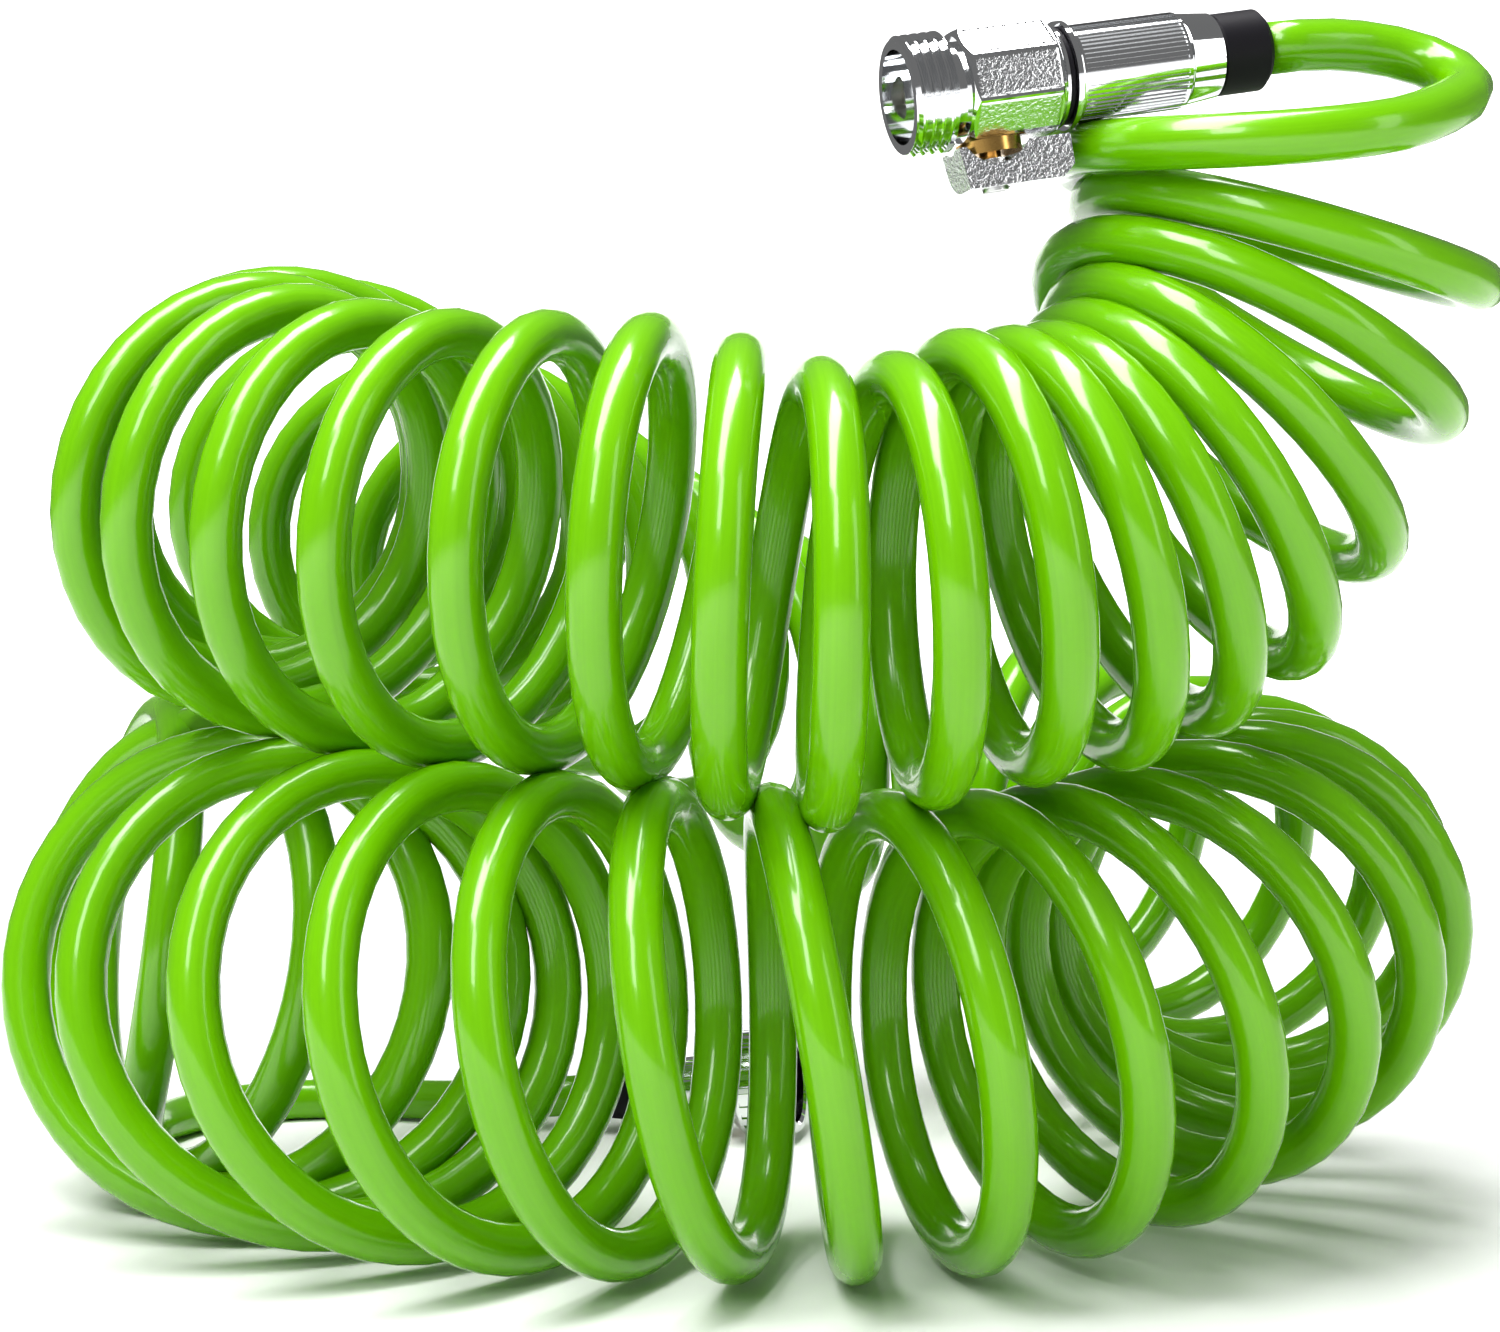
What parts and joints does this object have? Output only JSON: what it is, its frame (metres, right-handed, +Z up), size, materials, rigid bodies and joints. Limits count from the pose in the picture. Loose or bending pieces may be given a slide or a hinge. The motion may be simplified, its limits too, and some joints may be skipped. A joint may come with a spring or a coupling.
{
  "type": "recoil garden hose",
  "caption": "Self-coiling garden hose lying as a two-tier ring of loose turns, with a male shut-off valve at one end and a swivel coupling at the other.",
  "frame": {"origin": "on the surface that the hose lies on, under the middle of its outer box", "axes": "+Z up; -Y is the front of the ring; +X is the side that the collar end of the valve points to"},
  "size_m": [0.4015, 0.3389, 0.2931],
  "materials": {
    "hose": "smooth glossy flexible plastic, lime green, with faint lines along it from extrusion",
    "chrome_cast": "bright plating over a cast and machined surface",
    "chrome_turned": "bright plating over a turned surface",
    "brass": "machined brass",
    "seat_ptfe": "waxy white plastic",
    "black_rubber": "matt black rubber",
    "screw_steel": "plain steel"
  },
  "bodies": {
    "hose": {"hose_coil_lower": "hose", "hose_coil_back": "hose", "hose_coil_upper": "hose", "hose_outlet_lead": "hose", "hose_inlet_lead": "hose", "hose_tail_outlet": "hose", "hose_tail_inlet": "hose", "valve_body": "chrome_cast", "knurled_end_cap": "chrome_turned", "outlet_ferrule": "chrome_turned", "inlet_ferrule": "chrome_turned", "stem_gland_nut": "brass", "outlet_barb": "brass", "inlet_tailpiece": "brass", "ball_seat_front": "seat_ptfe", "ball_seat_rear": "seat_ptfe", "stem_o_ring": "black_rubber", "end_cap_o_ring": "black_rubber", "outlet_strain_relief": "black_rubber", "inlet_strain_relief": "black_rubber", "hose_washer": "black_rubber"},
    "lever": {"valve_ball": "brass", "valve_stem": "brass", "lever_handle": "chrome_cast", "lever_screw": "screw_steel"},
    "swivel": {"coupling_nut": "chrome_turned"}
  },
  "joints": [
    {"name": "lever_turn", "type": "hinge", "parent": "hose", "child": "lever", "pos_m": [0.06172, -0.10434, 0.27199], "axis": [-0.1702, -0.043, 0.9845], "range_deg": [0, 90]},
    {"name": "coupling_swivel", "type": "hinge", "parent": "hose", "child": "swivel", "pos_m": [0.01528, 0.06898, 0.01671], "axis": [-0.9693, 0.2198, -0.1099], "continuous": true}
  ]
}
